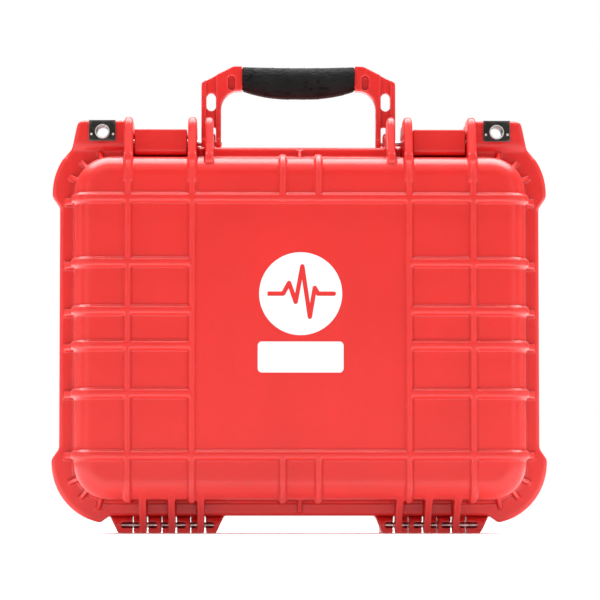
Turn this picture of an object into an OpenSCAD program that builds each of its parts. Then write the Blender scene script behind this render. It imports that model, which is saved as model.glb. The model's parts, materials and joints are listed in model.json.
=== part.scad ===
// Portable defibrillator in a hinged hard carry case, standing upright on its hinge side.
// Millimetres. +X is to the right, +Z up, the shallow lid faces -Y and the deep base faces +Y.
// Origin: centre of the bounding box, at its bottom.
//
// Two working frames are used below.
//   case frame: x, y, z with y = 0 on the plane where lid and base meet
//   half frame: x, height above the middle of the case, depth away from the meeting plane

/* [Case] */
// Width of the flange between its corner bumpers
flange_w = 352; // [350:0.5:354]
// Height of the flange
flange_h = 271; // [270:0.5:272]
// Thickness of each half's flange
flange_t = 6.5; // [6.3:0.1:6.6]
// Outer radius of the four corner bumpers
bumper_r = 44.5; // [44:0.1:45]
// Width of the moulded shells behind the flange
shell_w = 327.6; // [326:0.2:329]
// Height of the moulded shells
shell_h = 249; // [248:0.5:250]
// Depth of the lid shell
lid_depth = 46; // [45:0.5:48]
// Depth of the base shell
base_depth = 106; // [104:0.5:112]
// Wall thickness of the shells
wall = 3.2; // [2.8:0.1:3.4]
// Radius of the shells' upright corners
shell_corner_r = 26; // [24:0.5:28]
// Radius where the shells' walls turn into their faces
shell_edge_r = 14; // [12:0.5:15]
// Width of the upright stiffening ribs at their tops
rib_w = 3.6; // [3.2:0.1:4.4]
// How far the ribs stand proud
rib_h = 2.6; // [2:0.1:2.8]

/* [Hinge and latches] */
// Radius of every steel pin
pin_r = 2; // [1.8:0.05:2]
// Running clearance round a pin
pin_gap = 0.06; // [0.04:0.01:0.1]
// Radius of the hinge knuckles
knuckle_r = 6.2; // [6:0.1:6.2]
// Width of a latch
latch_w = 38.4; // [36:0.2:38.6]
// Radius of a latch's barrel
latch_r = 8.9; // [8.5:0.1:9]

/* [Handle] */
// Width over the handle's arms
handle_w = 143.8; // [142:0.2:144]
// Height of the handle's top over its pivot
handle_rise = 57.3; // [55:0.1:58]
// Length of the rubber grip
grip_l = 83.6; // [78:0.2:88]

/* [Defibrillator unit] */
// Width of the unit
unit_w = 200; // [196:1:204]
// Height of the unit
unit_h = 188; // [184:1:192]
// Depth of the unit
unit_d = 70; // [68:1:72]
// Travel of the unit's buttons
button_travel = 1.5; // [1:0.1:1.6]

/* [Hidden] */
$fn = 64;
red = [0.87, 0.07, 0.06];
steel = [0.62, 0.62, 0.64];
dark_steel = [0.36, 0.35, 0.34];
rubber = [0.07, 0.07, 0.075];
foam = [0.12, 0.12, 0.13];
cream = [0.88, 0.87, 0.84];
charcoal = [0.16, 0.17, 0.19];

arc_steps = 7;
knuckle_len = 9.8;
hinge_z = knuckle_r;
// Height of the case's middle above its foot
mid_z = 149;
// The meeting plane's place in the part's own frame
part_y = (lid_depth - base_depth) / 2;

half_w = flange_w / 2;
// The flange sits a little low on the shells
flange_drop = 0.5;
flange_low = -flange_h / 2 - flange_drop;
flange_high = flange_h / 2 - flange_drop;
bumper_x = half_w + 5.5;
bumper_arc_x = bumper_x - bumper_r;
bumper_low = -97.5;
bumper_high = 101;
tab_top = 154.4;
ear_top = 154.9;
shell_half_h = shell_h / 2;
hinge_h = hinge_z - mid_z;
lid_knuckles = [74.5, 95.5, 116.5];
ear_x = [78.6, 124.9];
ear_t = 6.5;
guard_x = 66.2;
guard_t = 5.8;

padlock_x = 145;
padlock_h = 294.8 - mid_z;
padlock_r = 4.5;
eyelet_r = 5.2;
plate_size = [19.6, 15.4, 1.2];
pad_t = 8.2;

latch_x = (ear_x[0] + ear_x[1]) / 2;
latch_pin = [-16, 286.1];
catch_pin = [15, 288.5];
ear_out = ear_x[1] + ear_t / 2;

handle_x = handle_w / 2;
arm_w = 14.6;
arm_t = 12;
arm_mid_x = handle_x - arm_w / 2;
fork_w = 7;
handle_ear_t = 5.6;
handle_top = catch_pin[1] + handle_rise;

seal_x = 168;
seal_h = 130;
seal_corner_r = 30;

valve_depth = 26;

unit_x = -50;
unit_face = 14;
unit_wall = 2.5;
unit_corner_r = 24;
unit_edge_r = 8;
gasket_t = 1.6;
board_depth = 34;
board_size = [160, 124, 1.6];
board_boss = [76, 54];
window_at = [-26, 44];
window_size = [80, 48];
speaker_at = [46, 44];
speaker_r = 21;
power_button_at = [-52, -46];
power_button_r = 14;
shock_button_at = [0, -46];
shock_button_r = 21;
info_button_at = [52, -46];
info_button_r = 10;
status_at = [82, 78];
status_r = 5;
socket_at = [82, -4];
socket_size = [20, 26];
battery_size = [96, 58];
battery_at = [-22, -44];
battery_depth = 60.5;
battery_h = 23.5;
capacitor_at = [-26, 36, 58];
capacitor_l = 78;
transformer_at = [52, -34];
relay_at = [58, 1];

switch_h = 2.2;

pouch_x = 106;
pouch_size = [76, 176, 20];
pouch_face = 8;
lead_r = 1.5;
// The lead's place in depth from the unit's face
lead_depth = -2.9;

// ---- outlines ----

function unit_v(v) = v / norm(v);

// The arc that rounds corner b, between the edges towards a and c
function corner_arc(a, b, c, r) =
    let(u = unit_v(a - b), v = unit_v(c - b), half = acos(u * v) / 2,
        mid = b + unit_v(u + v) * r / sin(half),
        from = b + u * r / tan(half) - mid, to = b + v * r / tan(half) - mid,
        a0 = atan2(from[1], from[0]), turn = (atan2(to[1], to[0]) - a0 + 900) % 360 - 180)
    [for (k = [0 : arc_steps])
        mid + r * [cos(a0 + turn * k / arc_steps), sin(a0 + turn * k / arc_steps)]];

function xy(p) = [p[0], p[1]];

// Points [x, y] stay sharp, points [x, y, radius] are rounded
function rounded(points) =
    let(n = len(points))
    [for (i = [0 : n - 1])
        each (len(points[i]) < 3
            ? [points[i]]
            : corner_arc(xy(points[(i + n - 1) % n]), xy(points[i]), xy(points[(i + 1) % n]),
                points[i][2]))];

function arc(at, r, from, to, steps = 12) =
    [for (k = [0 : steps]) let(a = from + (to - from) * k / steps) at + r * [cos(a), sin(a)]];

// The same points on the other side of x = 0, in the opposite order
function mirrored(points) =
    [for (i = [len(points) - 1 : -1 : 0])
        let(p = points[i])
        len(p) > 2 ? [-p[0], p[1], p[2]] : [-p[0], p[1]]];

flange_half = [
    [139, flange_low, 2.5],
    [145.7, flange_low - 5.1, 1.5],
    each arc([bumper_arc_x, bumper_low], bumper_r, -74, 0),
    [bumper_x, bumper_low + 2.5, 6],
    [half_w, bumper_low + 10.5, 5],
    [half_w, bumper_high - 11.5, 5],
    [bumper_x, bumper_high - 3.5, 6],
    each arc([bumper_arc_x, bumper_high], bumper_r, 0, 43),
    [167.4, 133.3, 2],
    [163, tab_top, 4],
    [126, tab_top],
    [126, flange_high]
];
flange_outline = rounded(concat(flange_half, mirrored(flange_half)));

module rounded_rect(w, h, r) {
    square([w - 2 * r, h], center = true);
    square([w, h - 2 * r], center = true);
    for (x = [-1, 1], y = [-1, 1])
        translate([x * (w / 2 - r), y * (h / 2 - r)])
            circle(r);
}

module pair() {
    children();
    mirror([1, 0, 0]) children();
}

// ---- placing ----

// The case frame
module placed() translate([0, part_y, 0]) children();

// The half frame of the lid and of the base
module lid_side() placed() translate([0, 0, mid_z]) rotate([90, 0, 0]) children();
module base_side() placed() mirror([0, 1, 0]) translate([0, 0, mid_z]) rotate([90, 0, 0]) children();

// In a half frame: a plate across x, its outline given as (depth, height)
module plate_across(x, t)
    translate([x + t / 2, 0, 0]) rotate([0, -90, 0]) linear_extrude(t) children();

// In the case frame: a plate across x, its outline given as (y, z)
module slab_across(x, t)
    translate([x - t / 2, 0, 0]) rotate([90, 0, 90]) linear_extrude(t) children();

// In the case frame: a plate across y, its outline given as (x, z)
module slab_along(y, t)
    translate([0, y + t / 2, 0]) rotate([90, 0, 0]) linear_extrude(t) children();

// A rod along x in a half frame
module half_rod(x0, x1, depth, height, r)
    translate([x0, height, depth]) rotate([0, 90, 0]) cylinder(h = x1 - x0, r = r);

// A rod along x in the case frame
module case_rod(x0, x1, yz, r)
    translate([x0, yz[0], yz[1]]) rotate([0, 90, 0]) cylinder(h = x1 - x0, r = r);

// ---- trays ----

// Half section of a tray: width out from the middle, depth up, rounded outer edge
module edge_profile(w, d, r) {
    square([w, d - r]);
    translate([0, d - r]) square([w - r, r]);
    translate([w - r, d - r]) intersection() {
        circle(r);
        square(r);
    }
}

// A solid box with round upright corners rc and a round far edge re, its open side at depth 0
module tray(w, h, d, rc, re) {
    for (quarter = [0 : 3])
        let(sx = [1, -1, -1, 1][quarter], sy = [1, 1, -1, -1][quarter])
            translate([sx * (w / 2 - rc), sy * (h / 2 - rc), 0])
                rotate([0, 0, 90 * quarter])
                    rotate_extrude(angle = 90)
                        edge_profile(rc, d, re);
    for (turn = [0, 180])
        rotate([0, 0, turn])
            translate([w / 2 - rc, h / 2 - rc, 0])
                rotate([90, 0, 0])
                    linear_extrude(h - 2 * rc)
                        edge_profile(rc, d, re);
    translate([rc - w / 2, 0, 0])
        rotate([90, 0, 90])
            linear_extrude(w - 2 * rc)
                pair() edge_profile(h / 2, d, re);
}

module shell_tray(d, grow) tray(shell_w + 2 * grow, shell_h + 2 * grow, d + grow,
    shell_corner_r + grow, shell_edge_r + grow);

upright_rib_x = [78.5, 125];
long_rib_h = [-92.4, 93.6];
short_rib_h = [-47.9, -13.2, 12.2, 46.9];
// How much wider the level ribs are than the upright ones
level_extra = 1.4;

// The ribs as seen from the front, w wide at the upright ones
module rib_pattern(w) {
    pair() for (x = upright_rib_x)
        translate([x, 0]) square([w, shell_h + 3 * rib_h], center = true);
    for (h = long_rib_h)
        translate([0, h]) square([shell_w + 3 * rib_h, w + level_extra], center = true);
    pair() for (h = short_rib_h)
        translate([upright_rib_x[0], h - (w + level_extra) / 2])
            square([shell_w / 2 - upright_rib_x[0] + 3, w + level_extra]);
    for (x = [-12.9, 12.9], s = [-1, 1])
        translate([x, s * 110]) square([w, 34 + 2 * rib_h], center = true);
}

// Ribs in two steps, broad at the foot and narrow at the top
module ribbed_shell(d) {
    shell_tray(d, 0);
    for (level = [[rib_h, rib_w], [rib_h * 0.45, rib_w + 1.8]])
        intersection() {
            shell_tray(d, level[0]);
            linear_extrude(d + rib_h) rib_pattern(level[1]);
        }
}

// Flange with a chamfered outer edge, and a low shoulder round the foot of the shell
module flange() {
    chamfer = 2;
    shoulder_w = 2.5;
    linear_extrude(flange_t + 2)
        rounded_rect(shell_w + 2 * shoulder_w, shell_h + 2 * shoulder_w, shell_corner_r + shoulder_w);
    linear_extrude(flange_t - chamfer) polygon(flange_outline);
    translate([0, 0, flange_t - chamfer])
        linear_extrude(chamfer, scale = 1 - chamfer / half_w, slices = 1, $fn = 0)
            polygon(flange_outline);
}

// Raised pads that carry the padlock plates, stepped down at their lower edge
module padlock_pads() {
    low = 135.4;
    step_w = 1.4;
    step_t = 0.55;
    pair() for (step = [0 : 2])
        linear_extrude(pad_t - step * step_t) intersection() {
            polygon(flange_outline);
            translate([ear_x[1], low - step * step_w]) square([half_w - ear_x[1], tab_top]);
        }
}

// Gussets between shell and flange: three round each corner, one at each rib of the sides,
// and one in the middle of the top and bottom
module flange_gussets() {
    level_w = rib_w + level_extra;
    pair() for (h = concat(short_rib_h, long_rib_h))
        translate([0, h + level_w / 2, 0]) rotate([90, 0, 0]) linear_extrude(level_w)
            polygon([[158, 1], [172.4, 1], [172.4, 8.6], [shell_w / 2 + rib_h - 0.3, 18], [158, 18]]);
    pair() for (s = [-1, 1], lean = [24, 48, 74])
        translate([shell_w / 2 - shell_corner_r, s * (shell_half_h - shell_corner_r), 0])
            rotate([0, 0, s * lean])
                translate([0, 1.5, 0]) rotate([90, 0, 0]) linear_extrude(3)
                    polygon([[20, 1], [34, 1], [34, 8], [shell_corner_r, 20], [20, 20]]);
    for (s = [-1, 1])
        plate_across(0, 3)
            polygon([[1, s * 118], [1, s * 133], [9, s * 133], [18, s * 124.5], [18, s * 118]]);
}

module seal_path(w) {
    difference() {
        rounded_rect(2 * seal_x + w, 2 * seal_h + w, seal_corner_r + w / 2);
        rounded_rect(2 * seal_x - w, 2 * seal_h - w, seal_corner_r - w / 2);
    }
}

// ---- lid ----

module lid_ears() {
    for (x = ear_x)
        plate_across(x, ear_t)
            polygon(rounded([[0.4, 128], [0.4, ear_top, 4], [32, ear_top, 11], [43, 128, 10], [48, 106],
                [40, 103], [30, 118]]));
    plate_across(guard_x, guard_t)
        polygon(rounded([[0.4, 128], [0.4, ear_top, 4], [31, ear_top, 11], [43, 128, 8], [44.6, 121, 2.5],
            [40, 116], [30, 118]]));
}

module lid_hinge() {
    for (x = lid_knuckles) {
        half_rod(x - knuckle_len / 2, x + knuckle_len / 2, 0, hinge_h, knuckle_r);
        plate_across(x - (knuckle_len - 5.1) / 2, 5.1)
            polygon(rounded([[0, hinge_h - 6.1], [5.5, hinge_h - 6, 3], [43.8, -119.5, 5], [40, -112],
                [6, -112], [6, hinge_h + 6], [0, hinge_h + 6]]));
    }
}

module lid_hinge_cuts() {
    half_rod(60, 130, 0, hinge_h, pin_r + pin_gap);
    for (x = lid_knuckles)
        translate([x + 0.4, hinge_h - 2.1, -2.2]) cube([knuckle_len / 2, 4.2, 10]);
}

module lid_shell() color(red) lid_side() difference() {
    union() {
        ribbed_shell(lid_depth);
        flange();
        padlock_pads();
        flange_gussets();
        pair() {
            lid_ears();
            lid_hinge();
        }
    }
    translate([0, 0, -1])
        tray(shell_w - 2 * wall, shell_h - 2 * wall, lid_depth - wall + 1,
            shell_corner_r - wall, shell_edge_r - wall);
    translate([0, 0, -1]) linear_extrude(5.4) seal_path(5);
    pair() {
        translate([padlock_x, padlock_h, -1]) cylinder(h = 20, r = eyelet_r + 0.05);
        half_rod(ear_x[0] - 6, ear_out + 1, -latch_pin[0], latch_pin[1] - mid_z, pin_r + 0.01);
        lid_hinge_cuts();
    }
}

module lid_seal() color(rubber) lid_side() translate([0, 0, 1.8]) linear_extrude(2.5) seal_path(4.6);

// ---- base ----

module base_ears() {
    for (x = ear_x)
        plate_across(x, ear_t)
            polygon(rounded([[0.4, 128], [0.4, ear_top - 2, 4], [24, ear_top - 2, 12], [42, 120, 10],
                [42, 112], [30, 118]]));
    plate_across(arm_mid_x, handle_ear_t) {
        translate([catch_pin[0], catch_pin[1] - mid_z]) circle(8);
        polygon([[7.5, 120], [7, catch_pin[1] - mid_z], [23, catch_pin[1] - mid_z], [26, 120]]);
    }
}

// Base side of the hinge: four blocks between the lid's knuckles, the outer ones with sloping ends
module base_hinge() intersection() {
    plate_across(97, 90) {
        translate([0, hinge_h]) circle(knuckle_r);
        translate([0, -mid_z]) square([14, 2 * knuckle_r]);
        translate([1, -mid_z]) square([13, 28]);
    }
    translate([0, 0, -10]) linear_extrude(30) {
        polygon([[54, -116], [54, -mid_z + 15.5], [61, -mid_z], [68.6, -mid_z], [68.6, -116]]);
        translate([80, -mid_z]) square([9.7, 32.5]);
        translate([101, -mid_z]) square([9.8, 32.5]);
        polygon([[122.2, -mid_z], [132.6, -mid_z], [138.7, -mid_z + 12.9], [138.7, -116], [122.2, -116]]);
    }
}

module base_hinge_cuts() {
    half_rod(50, 131.6, 0, hinge_h, pin_r + 0.01);
    for (window = [[62.6, 69], [83.4, 90], [104.2, 111], [121, 130.3]])
        translate([window[0], hinge_h - 2.1, -10]) cube([window[1] - window[0], 4.2, 10]);
}

// Fins that carry the upright case, level with the hinge blocks
module feet() for (x = [64, 84.9, 105.9, 128])
    plate_across(x, 5)
        polygon(rounded([[10, -mid_z], [88, -mid_z, 8], [99, -119, 5], [95, -112], [10, -112]]));

module base_shell() color(red) base_side() difference() {
    union() {
        ribbed_shell(base_depth);
        flange();
        padlock_pads();
        flange_gussets();
        translate([0, 0, -1.2]) linear_extrude(4) seal_path(2.4);
        translate([0, shell_half_h - 6, valve_depth])
            rotate([-90, 0, 0]) cylinder(h = 6 + valve_boss_h, r = 12);
        pair() {
            base_ears();
            base_hinge();
            feet();
        }
    }
    translate([0, 0, -1])
        tray(shell_w - 2 * wall, shell_h - 2 * wall, base_depth - wall + 1,
            shell_corner_r - wall, shell_edge_r - wall);
    translate([0, shell_half_h - 20, valve_depth]) rotate([-90, 0, 0]) cylinder(h = 40, r = valve_r + 0.2);
    pair() {
        translate([padlock_x, padlock_h, -1]) cylinder(h = 20, r = eyelet_r + 0.05);
        half_rod(56, ear_out + 1, catch_pin[0], catch_pin[1] - mid_z, pin_r + 0.01);
        base_hinge_cuts();
    }
}

// ---- pins and plates ----

module hinge_pins() color(steel) placed() pair() case_rod(58.8, 131.4, [0, hinge_z], pin_r);

module latch_pins() color(steel) placed() pair() case_rod(ear_x[0] - ear_t / 2, ear_out, latch_pin, pin_r);

module catch_pins() color(steel) placed() pair() case_rod(57.3, ear_out, catch_pin, pin_r);

// Steel face, two rivets, and an eyelet that lines the padlock hole through one half's tab
module padlock_plate() {
    difference() {
        union() {
            translate([padlock_x - plate_size[0] / 2, tab_top - 0.2 - plate_size[1], pad_t])
                cube(plate_size);
            translate([padlock_x, padlock_h, 0.2])
                cylinder(h = pad_t + plate_size[2] + 0.3, r = eyelet_r);
            for (s = [-1, 1])
                translate([padlock_x + s * 8, padlock_h - 2, pad_t]) cylinder(h = 1.7, r = 0.8);
        }
        translate([padlock_x, padlock_h, -1]) cylinder(h = 20, r = padlock_r);
    }
}

module lid_padlock_plates() color(dark_steel) lid_side() pair() padlock_plate();

module base_padlock_plates() color(dark_steel) base_side() pair() padlock_plate();

// ---- latches ----

lip_under = catch_pin[1] + pin_r + 0.5;
latch_top = latch_pin[1] + latch_r;

// Outline of a latch across its pin: barrel with a flat front, bridge, and a thin lip that reaches
// over the catch pin
module latch_outline() {
    front = latch_pin[0] - latch_r;
    // The flat underside lies a little under the barrel and ends in front of the pin
    bottom_drop = 1.1;
    bottom_end = 4;
    bottom = latch_pin[1] - latch_r - bottom_drop;
    translate(latch_pin) circle(latch_r);
    polygon(rounded([[front, latch_top, 1.2], [front, bottom, 3.5], [latch_pin[0] - bottom_end, bottom],
        [latch_pin[0], latch_pin[1] - latch_r], [latch_pin[0], latch_top]]));
    polygon(rounded([[latch_pin[0], latch_pin[1] - 0.3], [catch_pin[0] - 6, latch_pin[1] - 0.3, 0.8],
        [catch_pin[0] - 5, lip_under, 2], [27, lip_under, 1], [30.5, lip_under + 2.5, 1.6],
        [28, latch_top + 1.4, 1], [24, latch_top, 3], [latch_pin[0], latch_top]]));
    // Thumb grooves' ridges
    for (y = [14 : 3 : 23])
        translate([y, latch_top]) circle(0.9);
}

module latch() color(red) placed() difference() {
    slab_across(latch_x, latch_w) latch_outline();
    case_rod(latch_x - latch_w, latch_x + latch_w, latch_pin, pin_r + pin_gap);
}

module latch_right() latch();
module latch_left() mirror([1, 0, 0]) latch();

// ---- handle ----

arm_in = handle_x - arm_w;
grip_end = grip_l / 2;
// The handle rests a little to the left in its play along the catch pins
handle_shift = -0.6;
handle_outline_half = [
    [handle_x, catch_pin[1]],
    [handle_x, handle_top - 12.2, 3],
    [48.1, handle_top, 4],
    [grip_end, handle_top],
    [grip_end, handle_top - 2.5],
    [0, handle_top - 2.5]
];
handle_inner_half = [
    [0, handle_top - 16],
    [grip_end, handle_top - 16],
    [grip_end, handle_top - 18.4],
    [arm_in, handle_top - 18.4, 13],
    [arm_in, catch_pin[1]]
];

module handle_frame() color(red) translate([handle_shift, 0, 0]) placed() difference() {
    union() {
        slab_along(catch_pin[0], arm_t)
            pair() polygon(rounded(concat(handle_outline_half, handle_inner_half)));
        pair() case_rod(arm_in, handle_x, catch_pin, 7);
    }
    pair() {
        // Fork slot over the ear, window above it, and the channel that joins them on both faces
        translate([arm_mid_x - fork_w / 2, 0, catch_pin[1] - 10]) cube([fork_w, 40, 21.8]);
        slab_along(catch_pin[0], 40) {
            translate([arm_mid_x, handle_top - 29.7]) circle(fork_w / 2);
            translate([arm_mid_x, handle_top - 23.5]) circle(fork_w / 2);
            translate([arm_mid_x - fork_w / 2, handle_top - 29.7]) square([fork_w, 6.2]);
        }
        for (s = [-1, 1])
            translate([arm_mid_x - fork_w / 2, catch_pin[0] + s * 8 - 5, catch_pin[1] - 10])
                cube([fork_w, 10, handle_rise + 12]);
        // Oval recesses in the shoulders
        for (s = [-1, 1])
            slab_along(catch_pin[0] + s * arm_t / 2, 8) {
                for (z = [-2.7, 2.7]) translate([49.5, handle_top - 12.7 + z]) circle(2.45);
                translate([47.05, handle_top - 15.4]) square([4.9, 5.4]);
            }
        case_rod(arm_in - 1, handle_x + 1, catch_pin, pin_r + pin_gap);
    }
}

grip_outline_half = [
    [grip_end - 0.1, handle_top - 0.3],
    [grip_end - 0.1, handle_top - 18],
    [grip_end - 2.5, handle_top - 20],
    [26, handle_top - 23.2],
    [17, handle_top - 24.2]
];

module handle_grip() color(rubber) translate([handle_shift, 0, 0]) placed() difference() {
    intersection() {
        slab_along(catch_pin[0], 30)
            polygon(concat(grip_outline_half, mirrored(grip_outline_half)));
        slab_across(0, grip_l)
            translate([catch_pin[0], handle_top - 12.2])
                polygon(rounded([[-10.5, -12, 8], [10.5, -12, 8], [10.5, 12, 6], [-10.5, 12, 6]]));
    }
    slab_across(0, grip_l + 2)
        translate([catch_pin[0] - arm_t / 2 - 0.1, handle_top - 16.1]) square([arm_t + 0.2, 13.7]);
}

// ---- purge valve ----

valve_boss_h = 2.5;
valve_top = shell_half_h + valve_boss_h;
valve_r = 5;
valve_bore_r = 3.2;
valve_stem_l = 17;
valve_cap_r = 9.5;
washer_t = 1.1;
nut_t = 6;
membrane_t = 0.8;

// Frame on the valve's axis at height h over the case's middle, pointing up
module on_valve(h) base_side() translate([0, h, valve_depth]) rotate([-90, 0, 0]) children();

module purge_valve_body() color(rubber) on_valve(valve_top - valve_stem_l) difference() {
    seat = valve_stem_l + washer_t + 0.2;
    union() {
        cylinder(h = seat + 3, r = valve_r);
        translate([0, 0, seat]) cylinder(h = 3, r = valve_cap_r);
        translate([0, 0, seat + 3]) cylinder(h = 2.6, r = 7.5, $fn = 8);
    }
    translate([0, 0, -1]) cylinder(h = seat + 2.5, r = valve_bore_r);
}

module purge_valve_washer() color(charcoal) on_valve(valve_top + 0.1) difference() {
    cylinder(h = washer_t, r = valve_cap_r - 0.9);
    translate([0, 0, -1]) cylinder(h = washer_t + 2, r = valve_r + 0.4);
}

module purge_valve_nut() color(charcoal) on_valve(shell_half_h - wall - nut_t - 0.1) difference() {
    cylinder(h = nut_t, r = 9, $fn = 6);
    translate([0, 0, -1]) cylinder(h = nut_t + 2, r = valve_r + 0.05);
}

module purge_valve_membrane() color("white") on_valve(valve_top - valve_stem_l / 2)
    cylinder(h = membrane_t, r = valve_bore_r - 0.1);

// ---- foams ----

module lid_foam() color(foam) lid_side() translate([0, 0, 9])
    tray(shell_w - 2 * wall - 2, shell_h - 2 * wall - 2, lid_depth - wall - 10,
        shell_corner_r - wall - 1, shell_edge_r - wall - 1);

module base_foam() color(foam) base_side() difference() {
    translate([0, 0, 6])
        tray(shell_w - 2 * wall - 2, shell_h - 2 * wall - 2, base_depth - wall - 7,
            shell_corner_r - wall - 1, shell_edge_r - wall - 1);
    // Pockets for the unit, the pads and the cable, and room for the valve's nut
    translate([unit_x, 0, 0]) linear_extrude(unit_face + unit_d + 1)
        rounded_rect(unit_w + 2, unit_h + 2, unit_corner_r + 1);
    translate([pouch_x, 0, 0]) linear_extrude(pouch_face + pouch_size[2] + 1)
        rounded_rect(pouch_size[0] + 2, pouch_size[1] + 2, 9);
    translate([unit_x + unit_w / 2 - 40, -34, 0]) cube([90, 40, unit_face + 16]);
    translate([-14, shell_half_h - 22, 0]) cube([28, 30, 42]);
}

// ---- emblem ----

emblem_t = 0.4;
emblem_h = 24.1;
label_h = -21.7;
// Corners of a heartbeat trace across the disc, as fractions of its radius
pulse_trace = [[-0.8, 0], [-0.42, 0], [-0.28, 0.26], [-0.12, -0.2], [0.04, 0.66], [0.22, -0.56],
    [0.34, 0.14], [0.42, 0], [0.8, 0]];

module stroke(from, to, w) {
    run = to - from;
    translate(from) rotate(atan2(run[1], run[0])) translate([0, -w / 2]) square([norm(run), w]);
    translate(to) circle(w / 2, $fn = 12);
}

module pulse_emblem() color("white") lid_side() translate([0, emblem_h, lid_depth])
    linear_extrude(emblem_t) difference() {
        circle(30);
        for (i = [1 : len(pulse_trace) - 1])
            stroke(30 * pulse_trace[i - 1], 30 * pulse_trace[i], 3.2);
    }

module label_plate() color("white") lid_side() translate([0, label_h, lid_depth])
    linear_extrude(emblem_t) rounded_rect(62, 22.4, 3);

// ---- defibrillator unit ----

// Frame at the unit's middle, in the base's half frame
module unit_frame() base_side() translate([unit_x, 0, 0]) children();

module unit_tray(inset, d) tray(unit_w - 2 * inset, unit_h - 2 * inset, d - inset,
    unit_corner_r - inset, unit_edge_r - inset);

half_unit = unit_d / 2 - gasket_t / 2;
screw_spots = [[-88, -70], [-88, 0], [-88, 70], [88, -70], [88, 24], [88, 66]];

module screw_bosses(r, h)
    for (at = screw_spots)
        translate([at[0], at[1], 0]) cylinder(h = h, r = r);

module at_board_corners(depth)
    for (x = [-1, 1], y = [-1, 1])
        translate([x * board_boss[0], y * board_boss[1], depth]) children();

module unit_front_case() color(cream) unit_frame() difference() {
    union() {
        difference() {
            translate([0, 0, unit_face + half_unit]) mirror([0, 0, 1]) unit_tray(0, half_unit);
            translate([0, 0, unit_face + half_unit + 1])
                mirror([0, 0, 1]) unit_tray(unit_wall, half_unit + 1);
        }
        translate([0, 0, unit_face + 2]) screw_bosses(4.2, half_unit - 2);
        at_board_corners(unit_face + 2) cylinder(h = board_depth - unit_face - 2, r = 3.4);
    }
    // Openings in the face
    translate([window_at[0], window_at[1], 0]) linear_extrude(unit_face + 5)
        rounded_rect(window_size[0], window_size[1], 4);
    for (row = [-2 : 2])
        translate([speaker_at[0], speaker_at[1] + row * 6.4, 10])
            cube([34 - 5 * abs(row), 2.6, 20], center = true);
    for (round_opening = [[power_button_at, power_button_r], [shock_button_at, shock_button_r],
        [info_button_at, info_button_r], [status_at, status_r]])
        translate([round_opening[0][0], round_opening[0][1], 0])
            cylinder(h = unit_face + 6, r = round_opening[1] + 0.4);
    translate([socket_at[0], socket_at[1], 0])
        linear_extrude(unit_face + 5) square(socket_size + [0.6, 0.6], center = true);
    translate([0, 0, unit_face + half_unit - 14]) screw_bosses(1.6, 20);
    at_board_corners(board_depth - 10) cylinder(h = 20, r = 1.25);
}

// A block over the battery's outline, grown by a margin
module battery_block(margin, depth, h)
    translate([battery_at[0], battery_at[1], depth])
        linear_extrude(h) square(battery_size + [2 * margin, 2 * margin], center = true);

module unit_back_case() color(charcoal) unit_frame() difference() {
    union() {
        difference() {
            translate([0, 0, unit_face + unit_d - half_unit]) unit_tray(0, half_unit);
            translate([0, 0, unit_face + unit_d - half_unit - 1]) unit_tray(unit_wall, half_unit + 1);
        }
        translate([0, 0, unit_face + unit_d - half_unit]) screw_bosses(4.2, half_unit - 1);
        // Walls and floor of the battery bay
        battery_block(2.5, battery_depth - 4.5, 26);
    }
    battery_block(0.5, battery_depth - 2.5, 40);
    screw_bosses(1.9, 100);
    translate([0, 0, unit_face + unit_d - 4]) screw_bosses(3.2, 10);
}

module unit_gasket() color(rubber) unit_frame() translate([0, 0, unit_face + half_unit + 0.1])
    linear_extrude(gasket_t - 0.2) difference() {
        rounded_rect(unit_w - 0.8, unit_h - 0.8, unit_corner_r - 0.4);
        rounded_rect(unit_w - 5, unit_h - 5, unit_corner_r - 2.5);
    }

// Screw along the depth, its head at depth 0 and its tip towards the face
module screw(shank_r, length, head_r, head_t) {
    translate([0, 0, -length]) cylinder(h = length, r = shank_r);
    difference() {
        cylinder(h = head_t, r = head_r);
        translate([0, 0, head_t / 2]) cylinder(h = head_t, r = head_r / 2, $fn = 6);
    }
}

module unit_case_screws() color(steel) unit_frame()
    for (at = screw_spots)
        translate([at[0], at[1], unit_face + unit_d - 3.9]) screw(1.55, 43, 3, 2.4);

// Cap, retaining flange behind the face, and a stem that stops one travel short of its switch
module push_button(at, r, tone) color(tone) unit_frame() translate([at[0], at[1], unit_face - 2.5]) {
    stem = board_depth - switch_h - 0.2 - button_travel - unit_face + 2.5;
    rotate_extrude()
        polygon(rounded([[0, 0], [r, 0, 1.4], [r, 5.5], [r + 1.5, 5.5], [r + 1.5, 7], [3, 7], [3, stem],
            [0, stem]]));
}

module power_button() push_button(power_button_at, power_button_r, [0.1, 0.55, 0.25]);
module shock_button() push_button(shock_button_at, shock_button_r, [0.95, 0.42, 0.05]);
module info_button() push_button(info_button_at, info_button_r, [0.12, 0.35, 0.75]);

module button_switches() color(charcoal) unit_frame()
    for (at = [power_button_at, shock_button_at, info_button_at])
        translate([at[0], at[1], board_depth - 0.1]) mirror([0, 0, 1]) {
            translate([-3, -3, 0]) cube([6, 6, 1.6]);
            translate([0, 0, 1.6]) cylinder(h = 0.6, r = 1.7);
        }

module display_window() color([0.5, 0.6, 0.65, 0.5]) unit_frame()
    translate([window_at[0], window_at[1], unit_face + 0.6])
        linear_extrude(1.6) rounded_rect(window_size[0] - 0.4, window_size[1] - 0.4, 3.8);

module display_module() color([0.1, 0.13, 0.12]) unit_frame()
    translate([window_at[0], window_at[1], unit_face + 3]) {
        translate([-42, -26, 0]) cube([84, 52, 3.2]);
        translate([-45, -28, 3.2]) cube([90, 56, 1.6]);
    }

module status_lens() color([0.2, 0.8, 0.3]) unit_frame()
    translate([status_at[0], status_at[1], unit_face - 0.6]) {
        cylinder(h = 4, r = status_r);
        translate([0, 0, 3.2]) cylinder(h = 1.2, r = status_r + 1.5);
    }

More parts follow.
